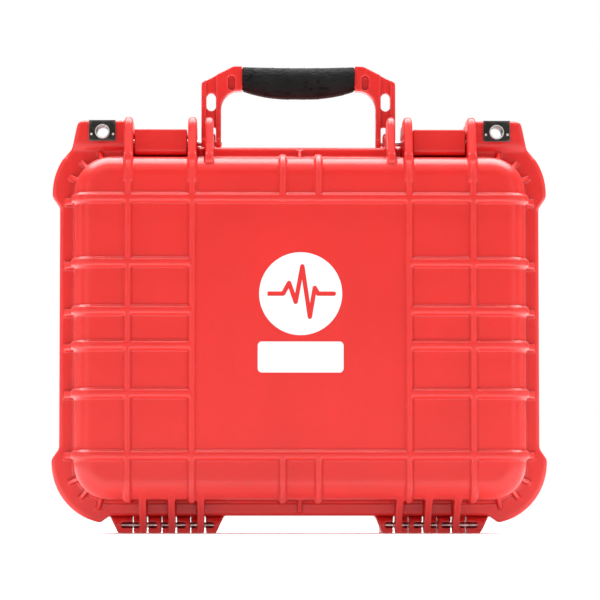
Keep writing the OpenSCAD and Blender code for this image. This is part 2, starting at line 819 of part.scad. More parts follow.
module speaker() color(charcoal) unit_frame()
    translate([speaker_at[0], speaker_at[1], unit_face + unit_wall + 0.2])
        rotate_extrude()
            polygon([[0, 2], [6, 2], [17, 0.6], [speaker_r, 0], [speaker_r, 3], [12, 9], [12, 13], [0, 13]]);

module main_board() color([0.05, 0.35, 0.18]) unit_frame() difference() {
    translate([-board_size[0] / 2, -board_size[1] / 2, board_depth]) cube(board_size);
    at_board_corners(0) cylinder(h = 60, r = 1.7);
}

module board_screws() color(steel) unit_frame()
    at_board_corners(board_depth + board_size[2] + 0.1) screw(1.2, 9, 2.8, 1.8);

module high_voltage_capacitor() color([0.1, 0.16, 0.35]) unit_frame()
    translate(capacitor_at) rotate([0, 90, 0]) {
        cylinder(h = capacitor_l, r = 19);
        for (y = [-7, 7])
            translate([0, y, capacitor_l]) cylinder(h = 5, r = 2.4);
    }

// Two flanges and the winding between them
module charging_transformer() color([0.75, 0.5, 0.2]) unit_frame()
    translate([transformer_at[0], transformer_at[1], board_depth + 1.8]) {
        for (z = [0, 22])
            translate([-18, -15, z]) cube([36, 30, 6]);
        translate([-12, -12, 6]) cube([24, 24, 16]);
    }

module discharge_relay() color([0.9, 0.9, 0.86]) unit_frame()
    translate([relay_at[0], relay_at[1], board_depth + 1.8]) cube([18, 14, 18]);

// The pack, with a finger notch at its edge
module battery_pack() color([0.2, 0.22, 0.25]) unit_frame() difference() {
    battery_block(0, battery_depth, battery_h);
    translate([battery_at[0] - 14, battery_at[1] - battery_size[1] / 2 - 1, battery_depth + battery_h - 3])
        cube([28, 9, 4]);
}

module battery_contacts() color([0.85, 0.7, 0.3]) unit_frame()
    for (x = [-12, 0, 12])
        translate([battery_at[0] + x - 2, battery_at[1] - 3, battery_depth - 2.4]) cube([4, 6, 2.3]);

module pads_socket() color(charcoal) unit_frame() translate([socket_at[0], socket_at[1], unit_face])
    difference() {
        linear_extrude(16) square(socket_size, center = true);
        translate([0, 0, -1]) linear_extrude(13) square(socket_size - [4, 4], center = true);
    }

// A body inside the socket, a flange over it, and a hole for the lead in the flange's side
module pads_plug() color([0.93, 0.93, 0.9]) unit_frame() translate([socket_at[0], socket_at[1], unit_face])
    difference() {
        union() {
            translate([0, 0, -1]) linear_extrude(11) square(socket_size - [4.6, 4.6], center = true);
            translate([-10, -13, -5.4]) cube([22, 26, 5]);
        }
        translate([8, 0, lead_depth]) rotate([0, 90, 0]) cylinder(h = 10, r = lead_r + 0.05);
    }

// The lead leaves the plug, steps down in two bends and enters the edge of the pouch
module pads_cable() color([0.93, 0.93, 0.9]) unit_frame()
    translate([socket_at[0] + 12.1, socket_at[1], unit_face + lead_depth]) {
        bend = 7;
        end = pouch_x - pouch_size[0] / 2 + 0.4 - unit_x - socket_at[0] - 12.1;
        translate([-4, 0, 0]) rotate([0, 90, 0]) cylinder(h = 6, r = lead_r);
        translate([2, -bend, 0]) rotate_extrude(angle = 90) translate([bend, 0]) circle(lead_r);
        translate([2 + 2 * bend, -bend, 0]) rotate([0, 0, 180])
            rotate_extrude(angle = 90) translate([bend, 0]) circle(lead_r);
        translate([2 + 2 * bend, -2 * bend, 0])
            rotate([0, 90, 0]) cylinder(h = end - 2 - 2 * bend, r = lead_r);
    }

module pads_pouch() color([0.82, 0.85, 0.88]) base_side() translate([pouch_x, 0, pouch_face])
    linear_extrude(pouch_size[2]) rounded_rect(pouch_size[0] - 1, pouch_size[1] - 1, 8);

lid_shell();
base_shell();
lid_seal();
hinge_pins();
latch_left();
latch_right();
latch_pins();
catch_pins();
lid_padlock_plates();
base_padlock_plates();
handle_frame();
handle_grip();
purge_valve_body();
purge_valve_washer();
purge_valve_nut();
purge_valve_membrane();
lid_foam();
base_foam();
pulse_emblem();
label_plate();
unit_front_case();
unit_back_case();
unit_gasket();
unit_case_screws();
power_button();
shock_button();
info_button();
button_switches();
display_window();
display_module();
status_lens();
speaker();
main_board();
board_screws();
high_voltage_capacitor();
charging_transformer();
discharge_relay();
battery_pack();
battery_contacts();
pads_socket();
pads_plug();
pads_cable();
pads_pouch();
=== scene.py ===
import json
import math

import bpy
import numpy as np
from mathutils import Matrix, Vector

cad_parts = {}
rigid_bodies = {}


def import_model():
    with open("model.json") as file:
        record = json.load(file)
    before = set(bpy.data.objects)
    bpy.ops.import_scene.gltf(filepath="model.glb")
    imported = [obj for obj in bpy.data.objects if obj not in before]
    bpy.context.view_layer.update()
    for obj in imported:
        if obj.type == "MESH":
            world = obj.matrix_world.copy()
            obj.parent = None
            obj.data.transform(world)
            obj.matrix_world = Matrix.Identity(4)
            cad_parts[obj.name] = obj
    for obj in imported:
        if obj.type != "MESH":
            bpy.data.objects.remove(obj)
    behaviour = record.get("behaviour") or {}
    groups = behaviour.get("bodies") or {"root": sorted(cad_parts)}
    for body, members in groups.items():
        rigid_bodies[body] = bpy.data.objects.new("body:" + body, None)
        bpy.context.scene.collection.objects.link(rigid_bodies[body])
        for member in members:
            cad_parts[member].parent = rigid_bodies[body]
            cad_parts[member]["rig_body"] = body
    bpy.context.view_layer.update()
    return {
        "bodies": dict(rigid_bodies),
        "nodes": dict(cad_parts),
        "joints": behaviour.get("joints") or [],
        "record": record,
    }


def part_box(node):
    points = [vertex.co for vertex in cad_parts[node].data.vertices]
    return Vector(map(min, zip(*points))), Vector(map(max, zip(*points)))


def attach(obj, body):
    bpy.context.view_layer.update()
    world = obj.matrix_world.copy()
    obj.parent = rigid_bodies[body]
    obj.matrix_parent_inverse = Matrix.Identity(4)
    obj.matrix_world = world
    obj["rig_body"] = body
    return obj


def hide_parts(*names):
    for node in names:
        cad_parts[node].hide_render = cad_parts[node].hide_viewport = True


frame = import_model()
nodes = frame["nodes"]

MM = 0.001
# The plane where lid and base meet, and the height of the case's middle
SPLIT_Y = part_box("lid_seal")[1].y + 1.8 * MM
MIDDLE_Z = sum(corner.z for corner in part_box("lid_seal")) / 2


# ---- materials ----


class Shader:
    """One material. Each call adds a node, fills its inputs and returns it or its main output."""

    def __init__(self, name):
        self.material = bpy.data.materials.new(name)
        self.material.use_nodes = True
        self.tree = self.material.node_tree
        self.start()

    @classmethod
    def on(cls, material):
        """Goes on with a material that already has its nodes."""
        shader = cls.__new__(cls)
        shader.material, shader.tree = material, material.node_tree
        shader.start()
        return shader

    def start(self):
        self.surface = self.tree.nodes["Principled BSDF"]
        self.coords = self.add("ShaderNodeTexCoord").outputs["Object"]

    def fill(self, node, inputs):
        for key, value in inputs.items():
            if isinstance(value, bpy.types.NodeSocket):
                self.tree.links.new(value, node.inputs[key])
            else:
                node.inputs[key].default_value = value

    def add(self, kind, inputs=None, **settings):
        node = self.tree.nodes.new(kind)
        for key, value in settings.items():
            setattr(node, key, value)
        self.fill(node, inputs or {})
        return node

    def look(self, **inputs):
        """Fills the surface's inputs: Base_Color stands for Base Color."""
        self.fill(self.surface, {key.replace("_", " "): value for key, value in inputs.items()})
        return self.material

    def scaled(self, size, stretch=(1, 1, 1)):
        scale = tuple(1 / (size * s) for s in stretch)
        return self.add("ShaderNodeMapping", {"Vector": self.coords, "Scale": scale}).outputs["Vector"]

    def noise(self, size, detail=2.0, stretch=(1, 1, 1), distortion=0.0):
        """Noise whose blotches are about size metres wide, drawn out along each axis by stretch."""
        place = self.scaled(size, stretch)
        inputs = {"Vector": place, "Scale": 1.0, "Detail": detail, "Distortion": distortion}
        return self.add("ShaderNodeTexNoise", inputs).outputs["Fac"]

    def cells(self, size):
        inputs = {"Vector": self.scaled(size), "Scale": 1.0}
        return self.add("ShaderNodeTexVoronoi", inputs).outputs["Distance"]

    def ramp(self, value, low, high, to_low=0.0, to_high=1.0):
        inputs = {"Value": value, "From Min": low, "From Max": high, "To Min": to_low, "To Max": to_high}
        return self.add("ShaderNodeMapRange", inputs).outputs["Result"]

    def mix(self, share, a, b):
        node = self.add("ShaderNodeMix", data_type="RGBA")
        for socket, value in ((node.inputs[0], share), (node.inputs[6], a), (node.inputs[7], b)):
            if isinstance(value, bpy.types.NodeSocket):
                self.tree.links.new(value, socket)
            else:
                socket.default_value = (*value, 1) if isinstance(value, tuple) else value
        return node.outputs[2]

    def math(self, operation, *values):
        node = self.add("ShaderNodeMath", operation=operation)
        for socket, value in zip(node.inputs, values):
            if isinstance(value, bpy.types.NodeSocket):
                self.tree.links.new(value, socket)
            else:
                socket.default_value = value
        return node.outputs[0]

    def times(self, a, b):
        return self.math("MULTIPLY", a, b)

    def distance(self, a, b):
        """The length of the step (a, b)."""
        return self.math("SQRT", self.math("ADD", self.times(a, a), self.times(b, b)))

    def bump(self, height, depth, under=None):
        """Raises the surface by up to depth metres where height is 1."""
        inputs = {"Height": height, "Distance": depth, "Strength": 1.0}
        if under is not None:
            inputs["Normal"] = under
        return self.add("ShaderNodeBump", inputs).outputs["Normal"]

    def pointiness(self):
        """0.5 on flats, more on outer edges and less in inner corners."""
        return self.add("ShaderNodeNewGeometry").outputs["Pointiness"]

    def edges(self, low=0.5, high=0.6):
        """1 along outer edges, 0 on flats and in inner corners."""
        return self.ramp(self.pointiness(), low, high)

    def hollows(self):
        """1 along inner corners, 0 on flats and outer edges."""
        return self.ramp(self.pointiness(), 0.495, 0.43)


def shades(color, amount):
    """A darker and a lighter neighbour of a colour."""
    return tuple(c * (1 - amount) for c in color), tuple(min(1.0, c * (1 + amount)) for c in color)


# How far rubbed plastic goes towards white along outer edges, as rubbed wear and as painted highlight, and
# how much of its colour is left in the painted shade of inner corners
RUBBED_AND_LIT_WHITE = 0.12
HOLLOW_SHADE_COLOR = 0.4


def moulded_plastic(name, color, roughness=0.4, grain=0.5 * MM, grain_depth=0.02 * MM, edge=0.45, hollow=0.0):
    """Moulded plastic with fine grain and faint flow marks.

    edge is how much lighter its outer edges are painted, as rubbed wear and as painted highlight, and hollow
    how much painted shade darkens its inner corners, both from 0 to 1.
    """
    s = Shader(name)
    dark, light = shades(color, 0.05)
    flow = s.ramp(s.noise(55 * MM, 3.0, stretch=(1, 1, 1.8)), 0.3, 0.7)
    # Inner corners are painted darker: painted shade where ribs and walls meet
    hollow_shaded = tuple(c * HOLLOW_SHADE_COLOR for c in color)
    body = s.mix(s.times(s.hollows(), hollow), s.mix(flow, dark, light), hollow_shaded)
    # Outer edges are painted lighter: rubbed wear, and painted highlight along the edges of the ribs
    rubbed = tuple(c + (1 - c) * RUBBED_AND_LIT_WHITE for c in color)
    wear_and_highlight = s.times(s.times(s.edges(), s.ramp(s.noise(9 * MM, 4.0), 0.2, 0.6, 0.4, 1.0)), edge)
    grain_normal = s.bump(s.noise(grain, 2.0), grain_depth)
    wavy_normal = s.bump(s.noise(14 * MM, 1.0), 0.06 * MM, grain_normal)
    gloss = s.ramp(s.noise(9 * MM, 1.0), 0.3, 0.7, roughness - 0.02, roughness + 0.03)
    return s.look(Base_Color=s.mix(wear_and_highlight, body, rubbed), Roughness=gloss, IOR=1.49, Normal=wavy_normal)


def drawn_steel(name, color, roughness, stretch, edge_color=None):
    """Steel with fine lines along one axis; edge_color brightens cut edges."""
    s = Shader(name)
    lines = s.noise(0.25 * MM, 3.0, stretch=stretch)
    blotches = s.ramp(s.noise(5 * MM, 4.0, distortion=0.6), 0.35, 0.65)
    dark, light = shades(color, 0.3)
    body = s.mix(blotches, dark, light)
    if edge_color:
        body = s.mix(s.edges(0.52, 0.6), body, edge_color)
    gloss = s.ramp(lines, 0.3, 0.7, roughness - 0.08, roughness + 0.1)
    return s.look(Base_Color=body, Metallic=1.0, Roughness=gloss, Normal=s.bump(lines, 0.012 * MM))


def plate_steel():
    """Blackened steel with greyer cut edges, and bare metal on the eyelet's face and the two rivets."""
    hole = next(mount for mount in frame["record"]["mounts"] if mount["name"] == "padlock_hole_right")
    x, _, z = hole["pos_m"]
    bore = hole["dims"]["r_mm"] * MM
    rivet_side, rivet_drop = 8 * MM, 2 * MM
    bare_metal = (0.88, 0.86, 0.84)
    material = drawn_steel("plate_steel", (0.055, 0.051, 0.047), 0.36, (1, 1, 14), (0.35, 0.34, 0.33))
    s = Shader.on(material)
    place = s.add("ShaderNodeSeparateXYZ", {"Vector": s.coords}).outputs
    side = s.math("SUBTRACT", s.math("ABSOLUTE", place["X"]), x)
    height = s.math("SUBTRACT", place["Z"], z)
    # The eyelet's face is bare from its rim to just short of its bore
    reach = s.distance(side, height)
    outside_bore = s.ramp(reach, bore + 0.05 * MM, bore + 0.1 * MM)
    on_face = s.times(s.ramp(reach, bore + 1.0 * MM, bore + 0.7 * MM), outside_bore)
    over = s.math("SUBTRACT", s.math("ABSOLUTE", side), rivet_side)
    under = s.math("ADD", height, rivet_drop)
    on_rivet = s.ramp(s.distance(over, under), 1.0 * MM, 0.8 * MM)
    plate = s.surface.inputs["Base Color"].links[0].from_socket
    return s.look(Base_Color=s.mix(s.math("MAXIMUM", on_face, on_rivet), plate, bare_metal))


def plain_rubber(name, color, roughness=0.6):
    s = Shader(name)
    dark, light = shades(color, 0.2)
    skin = s.bump(s.noise(0.4 * MM, 3.0), 0.03 * MM)
    body = s.mix(s.ramp(s.noise(8 * MM, 3.0), 0.3, 0.7), dark, light)
    return s.look(Base_Color=body, Roughness=roughness, Normal=skin)


def grip_rubber():
    """Soft rubber, mottled and creased where it is squeezed, with painted shade in the creases."""
    s = Shader("grip_rubber")
    creases = s.noise(5 * MM, 5.0, stretch=(2.2, 1, 0.8), distortion=1.4)
    # The creases' dips are painted near black: painted shade in the creases
    crease_shade = s.ramp(creases, 0.56, 0.64)
    mottle = s.ramp(s.noise(16 * MM, 3.0), 0.3, 0.7)
    body = s.mix(mottle, (0.008, 0.0085, 0.0085), (0.015, 0.0155, 0.0155))
    crease_shaded = s.mix(crease_shade, body, (0.002, 0.002, 0.002))
    skin = s.bump(s.noise(0.5 * MM, 3.0), 0.05 * MM)
    creased = s.bump(s.ramp(creases, 0.45, 0.68, 1.0, 0.0), 0.5 * MM, skin)
    gloss = s.ramp(s.noise(4 * MM, 2.0), 0.3, 0.7, 0.6, 0.8)
    rubbed = s.mix(s.times(s.edges(0.53, 0.6), 0.5), crease_shaded, (0.13, 0.125, 0.12))
    return s.look(Base_Color=rubbed, Roughness=gloss, Specular_IOR_Level=0.13, Normal=creased)


def open_foam():
    """Open-cell foam: pores of two sizes, painted darker in their hollows as painted shade, and a sheen like
    a film of dust.
    """
    s = Shader("foam_black")
    pores = s.cells(1.1 * MM)
    fine = s.noise(0.5 * MM, 4.0)
    # The pores are painted darker than the cell walls: painted shade in their hollows
    body = s.mix(s.ramp(pores, 0.2, 0.7), (0.012, 0.012, 0.013), (0.042, 0.042, 0.045))
    normal = s.bump(pores, 0.5 * MM, s.bump(fine, 0.15 * MM))
    return s.look(Base_Color=body, Roughness=0.95, Sheen_Weight=0.25, Sheen_Roughness=0.6, Normal=normal)


def laminated_foil():
    s = Shader("pouch_foil")
    crinkles = s.noise(7 * MM, 4.0, distortion=1.2)
    # The crinkles' rises are painted lighter and their dips darker: painted light and painted shade on the
    # crinkles
    body = s.mix(s.ramp(crinkles, 0.3, 0.7), (0.42, 0.45, 0.48), (0.6, 0.63, 0.66))
    normal = s.bump(crinkles, 0.5 * MM)
    return s.look(Base_Color=body, Metallic=0.75, Roughness=0.34, Normal=normal)


def printed_vinyl(name, color):
    s = Shader(name)
    dark, light = shades(color, 0.02)
    body = s.mix(s.ramp(s.noise(20 * MM, 2.0), 0.3, 0.7), dark, light)
    skin = s.bump(s.noise(0.8 * MM, 2.0), 0.008 * MM)
    return s.look(Base_Color=body, Roughness=0.45, Normal=skin)


def clear_window():
    s = Shader("window_glass")
    smears = s.ramp(s.noise(18 * MM, 4.0), 0.4, 0.7, 0.02, 0.07)
    return s.look(Base_Color=(0.9, 0.95, 0.97, 1), Roughness=smears, Transmission_Weight=1.0, IOR=1.46)


def circuit_board():
    """Solder mask over copper tracks that run in straight steps."""
    s = Shader("board_green")
    black, white = (0, 0, 0, 1), (1, 1, 1, 1)
    inputs = {"Vector": s.scaled(9 * MM), "Scale": 1.0, "Mortar Size": 0.06}
    inputs |= {"Color1": black, "Color2": black, "Mortar": white}
    tracks = s.add("ShaderNodeTexBrick", inputs).outputs["Color"]
    body = s.mix(tracks, (0.012, 0.12, 0.045), (0.03, 0.24, 0.09))
    return s.look(Base_Color=body, Roughness=0.35, Normal=s.bump(tracks, 0.05 * MM))


def lit_lens(name, color, glow):
    s = Shader(name)
    facets = s.bump(s.cells(1.2 * MM), 0.1 * MM)
    tint = (*color, 1)
    return s.look(Base_Color=tint, Emission_Color=tint, Emission_Strength=glow, Roughness=0.15, Normal=facets)


RED = (0.7, 0.0215, 0.0175)
materials = {
    # The case's red is painted lighter along outer edges, as wear and painted highlight, and darker in inner
    # corners as painted shade
    "case_red": moulded_plastic("case_red", RED, 0.3, grain_depth=0.004 * MM, edge=0.9, hollow=0.8),
    "pin_steel": drawn_steel("pin_steel", (0.62, 0.61, 0.6), 0.25, (30, 1, 1)),
    "plate_steel": plate_steel(),
    "grip_rubber": grip_rubber(),
    "seal_rubber": plain_rubber("seal_rubber", (0.02, 0.02, 0.021)),
    "valve_black": moulded_plastic("valve_black", (0.025, 0.025, 0.027), roughness=0.45),
    "membrane_white": plain_rubber("membrane_white", (0.75, 0.75, 0.75), 0.9),
    "foam_black": open_foam(),
    "mark_white": printed_vinyl("mark_white", (0.86, 0.85, 0.87)),
    "unit_cream": moulded_plastic("unit_cream", (0.62, 0.61, 0.565), 0.5, grain=0.7 * MM),
    "unit_charcoal": moulded_plastic("unit_charcoal", (0.035, 0.037, 0.042), 0.55, grain=0.7 * MM),
    "button_green": moulded_plastic("button_green", (0.02, 0.32, 0.1), roughness=0.3),
    "button_orange": moulded_plastic("button_orange", (0.85, 0.2, 0.015), roughness=0.3),
    "button_blue": moulded_plastic("button_blue", (0.03, 0.13, 0.5), roughness=0.3),
    "window_glass": clear_window(),
    "display_dark": printed_vinyl("display_dark", (0.01, 0.022, 0.02)),
    "lens_green": lit_lens("lens_green", (0.05, 0.7, 0.12), 1.2),
    "board_green": circuit_board(),
    "capacitor_blue": printed_vinyl("capacitor_blue", (0.02, 0.04, 0.18)),
    "transformer_ferrite": plain_rubber("transformer_ferrite", (0.06, 0.055, 0.055), 0.5),
    "relay_white": moulded_plastic("relay_white", (0.7, 0.7, 0.66)),
    "battery_grey": moulded_plastic("battery_grey", (0.06, 0.065, 0.08), roughness=0.5),
    "contact_brass": drawn_steel("contact_brass", (0.75, 0.52, 0.2), 0.25, (1, 8, 1)),
    "lead_white": plain_rubber("lead_white", (0.7, 0.7, 0.68), 0.45),
    "pouch_foil": laminated_foil(),
}


# ---- mesh tools ----


def body_of(node):
    return nodes[node]["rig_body"]


def slot_of(node):
    return next(part["material_slot"] for part in frame["record"]["subparts"] if part["node"] == node)


def paint(piece, slot):
    piece.data.materials.clear()
    piece.data.materials.append(materials[slot])


def bake(piece):
    """Turns the piece's modifiers into its mesh."""
    depsgraph = bpy.context.evaluated_depsgraph_get()
    mesh = bpy.data.meshes.new_from_object(piece.evaluated_get(depsgraph))
    piece.modifiers.clear()
    piece.data = mesh


def modifier(piece, kind, **settings):
    made = piece.modifiers.new(kind.lower(), kind)
    for key, value in settings.items():
        setattr(made, key, value)


def smooth(piece):
    piece.data.polygons.foreach_set("use_smooth", [True] * len(piece.data.polygons))


def weight_normals(piece):
    """Lets the large faces set the shading, so that flats look flat."""
    modifier(piece, "WEIGHTED_NORMAL", mode="FACE_AREA", weight=50, keep_sharp=True)


def finish_piece(piece, node):
    """The piece takes the place of a CAD node: its body, its material slot and smooth shading."""
    smooth(piece)
    piece.data.update()
    paint(piece, slot_of(node))
    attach(piece, body_of(node))
    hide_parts(node)


def new_piece(name, vertices, faces):
    mesh = bpy.data.meshes.new(name)
    mesh.from_pydata([tuple(v) for v in vertices], [], faces)
    mesh.update()
    piece = bpy.data.objects.new(name, mesh)
    bpy.context.scene.collection.objects.link(piece)
    return piece


# Points closer than this are one
WELD_GAP = 0.002 * MM


def remeshed(node, voxel, rounds):
    """The CAD node's shape as an even mesh, its edges and inner corners rounded off."""
    piece = bpy.data.objects.new(node + "_soft", nodes[node].data.copy())
    bpy.context.scene.collection.objects.link(piece)
    coarse = 1.0
    modifier(piece, "WELD", merge_threshold=WELD_GAP)
    modifier(piece, "REMESH", mode="VOXEL", voxel_size=voxel * coarse)
    modifier(piece, "SMOOTH", factor=0.5, iterations=round(rounds / coarse))
    bake(piece)
    return piece


def thin_out(piece, triangles):
    count = len(piece.data.polygons) * 2
    if count > triangles:
        modifier(piece, "DECIMATE", ratio=triangles / count)
        bake(piece)


def points_of(piece):
    points = np.zeros(len(piece.data.vertices) * 3)
    piece.data.vertices.foreach_get("co", points)
    return points.reshape(-1, 3)


def move_points(piece, points):
    piece.data.vertices.foreach_set("co", points.ravel())
    piece.data.update()


# Each round moves a point of an outer edge by this share of the way to its neighbours' middle,
# and a point of a hollow by much less, so that inner corners stay crisp
EDGE_SHARE = 0.5
HOLLOW_SHARE = 0.06


def round_edges(piece, rounds, above=None):
    """Relaxes outer edges into round ones, on the whole piece or only above a height."""
    mesh = piece.data
    count = len(mesh.vertices)
    ends = np.zeros(len(mesh.edges) * 2, dtype=np.int32)
    mesh.edges.foreach_get("vertices", ends)
    a, b = ends.reshape(-1, 2).T
    neighbours = np.bincount(a, minlength=count) + np.bincount(b, minlength=count)
    normals = np.zeros(count * 3)
    for _ in range(rounds):
        points = points_of(piece)
        mesh.vertices.foreach_get("normal", normals)
        sums = [np.bincount(a, points[b, k], count) + np.bincount(b, points[a, k], count)
                for k in range(3)]
        pull = np.stack(sums, axis=1) / neighbours[:, None] - points
        outward = (pull * normals.reshape(-1, 3)).sum(axis=1) < 0
        share = np.where(outward, EDGE_SHARE, HOLLOW_SHARE)
        if above is not None:
            share *= points[:, 2] > above
        move_points(piece, points + pull * share[:, None])


# ---- the moulded red pieces ----

# Ears and tabs stand over this height and have softer edges than the ribs
EARS_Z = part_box("latch_left")[0].z - 1 * MM
MOULDINGS = {
    # node: voxel size, plain rounds, rounds on outer edges, extra rounds on the ears, triangles kept
    "lid_shell": (0.65 * MM, 2, 4, 40, 190000),
    "base_shell": (0.8 * MM, 2, 4, 16, 190000),
    "latch_left": (0.4 * MM, 2, 12, 0, 60000),
    "latch_right": (0.4 * MM, 2, 12, 0, 60000),
    "handle_frame": (0.4 * MM, 2, 12, 0, 120000),
}
for node, (voxel, plain, outer, extra, triangles) in MOULDINGS.items():
    moulding = remeshed(node, voxel, plain)
    round_edges(moulding, outer)
    round_edges(moulding, extra, above=EARS_Z)
    thin_out(moulding, triangles)
    finish_piece(moulding, node)
    weight_normals(moulding)


# ---- the grip ----


def superellipse(angle, half_y, half_z, power):
    """A point on an oval that gets squarer as power rises from 2."""
    c, s = math.cos(angle), math.sin(angle)
    y = half_y * math.copysign(abs(c) ** (2 / power), c)
    z = half_z * math.copysign(abs(s) ** (2 / power), s)
    return y, z


def ridge(distance, width):
    """1 at no distance, fading to 0 over about width."""
    return math.exp(-(distance / width) ** 2)


def grip():
    """A rubber sleeve: a belly for the palm, wrap seams with small steps, and a moulding line underneath."""
    low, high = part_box("handle_grip")
    middle_x = (high.x + low.x) / 2
    half_length = (high.x - low.x) / 2
    middle_y = (high.y + low.y) / 2
    half_depth = (high.y - low.y) / 2
    belly = high.z - low.z
    end_share = 0.74
    end_height = belly * end_share
    # The share of the half length, from the middle, over which the belly stays full
    full = 0.18
    sag, top_gap = 0.8 * MM, 0.1 * MM
    step = 0.5 * MM
    seams = [-18.6 * MM, -7.3 * MM, 4.7 * MM, 15.2 * MM, 33.5 * MM]
    lip_depth, lip_length = 1.1 * MM, 1.3 * MM
    # The moulding line's height, and its place and width in degrees
    line_height, line_angle, line_width = 0.35 * MM, 62, 2.2
    around, along = 96, 330
    rings = []
    for i in range(along + 1):
        x = -half_length + 2 * half_length * i / along
        share = abs(x) / half_length
        # Straight top that sags a little, belly that swells towards the middle
        top = high.z - sag * (1 - share ** 2) + top_gap
        swell = math.cos(min(1.0, max(0.0, (share - full) / (1 - full))) * math.pi / 2) ** 0.8
        height = end_height + (belly - end_height) * swell - (high.z - top)
        # Each turn of the wrap swells a little up to the raised line at the next seam
        last = max([seam for seam in seams if seam <= x], default=-half_length)
        following = min([seam for seam in seams if seam > x], default=half_length)
        phase = (x - last) / (following - last)
        raised = sum(ridge(x - seam, 0.35 * MM) for seam in seams)
        wrap = step * (0.5 * (phase - 0.5) + 0.7 * raised)
        lip = lip_depth * max(0.0, 1 - (half_length - abs(x)) / lip_length) ** 2
        half_z = height / 2 - lip + wrap * 0.5
        half_y = half_depth * (0.9 + 0.1 * swell) - lip - step + wrap * 0.5
        centre_z = top - height / 2
        ring = []
        for k in range(around):
            angle = 2 * math.pi * k / around
            y, z = superellipse(angle, half_y, half_z, 2.5)
            # The moulding line runs along the underside's front and back
            off_line = math.degrees(angle) % 180 - line_angle
            line = line_height * ridge(off_line, line_width) * (angle > math.pi)
            scale = 1 + line / half_z
            ring.append(Vector((middle_x + x, middle_y + y * scale, centre_z + z * scale)))
        rings.append(ring)
    # The bore that the handle's bar runs through
    bore_half_y, bore_half_z = 6.1 * MM, 6.85 * MM
    bore_z = high.z - 8.95 * MM
    for x in (half_length, -half_length):
        ring = []
        for k in range(around):
            y, z = superellipse(2 * math.pi * k / around, bore_half_y, bore_half_z, 9)
            ring.append(Vector((middle_x + x, middle_y + y, bore_z + z)))
        rings.append(ring)
    vertices = [v for ring in rings for v in ring]
    count = len(rings)
    faces = []
    for i in range(count):
        for k in range(around):
            a, b = i * around, ((i + 1) % count) * around
            n = (k + 1) % around
            faces.append((a + k, b + k, b + n, a + n))
    finish_piece(new_piece("grip", vertices, faces), "handle_grip")


grip()


# ---- foams ----


# Points within this depth of a foam's face move with it, fully once they are FRONT_FADE nearer
FRONT_DEPTH, FRONT_FADE = 4 * MM, 3 * MM


def roughen(points, depth, size):
    """How far to move each point, up to depth, by smooth waves of about size metres that don't repeat."""
    waves = np.zeros(len(points))
    for turn, scale in ((0.3, 1.0), (1.1, 0.61), (2.0, 0.37)):
        along = points[:, 0] * math.cos(turn) + points[:, 2] * math.sin(turn)
        across = points[:, 2] * math.cos(turn) - points[:, 0] * math.sin(turn)
        waves += np.sin(along / (size * scale)) * np.sin(across / (size * scale) + points[:, 1] / size)
    return depth * waves / 3


def lid_foam():
    """Convoluted foam: rows of rounded peaks on the side that presses on the contents."""
    low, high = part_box("lid_foam")
    piece = remeshed("lid_foam", 1.8 * MM, 3)
    points = points_of(piece)
    pitch, depth, rim = 29 * MM, 11 * MM, 9 * MM
    x, z = points[:, 0], points[:, 2] - MIDDLE_Z
    waves = np.cos(2 * np.pi * x / pitch) * np.cos(2 * np.pi * z / pitch)
    inset = np.minimum(high.x - np.abs(x), (high.z - low.z) / 2 - np.abs(z))
    fade = np.clip(inset / rim, 0, 1)
    front = np.clip((points[:, 1] - (high.y - FRONT_DEPTH)) / FRONT_FADE, 0, 1)
    points[:, 1] -= front * (0.3 * MM + depth * (0.5 - 0.5 * waves) * fade ** 2)
    points[:, 1] += front * roughen(points, 0.25 * MM, 6 * MM) - front * 0.25 * MM
    move_points(piece, points)
    thin_out(piece, 90000)
    finish_piece(piece, "lid_foam")


def base_foam():
    """Cut foam with soft rims to its pockets and a slightly uneven face."""
    low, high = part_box("base_foam")
    piece = remeshed("base_foam", 1.8 * MM, 3)
    points = points_of(piece)
    front = np.clip(((low.y + FRONT_DEPTH) - points[:, 1]) / FRONT_FADE, 0, 1)
    points[:, 1] += front * (0.4 * MM + roughen(points, 0.4 * MM, 9 * MM))
    move_points(piece, points)
    thin_out(piece, 120000)
    finish_piece(piece, "base_foam")


lid_foam()
base_foam()


# ---- pads pouch ----


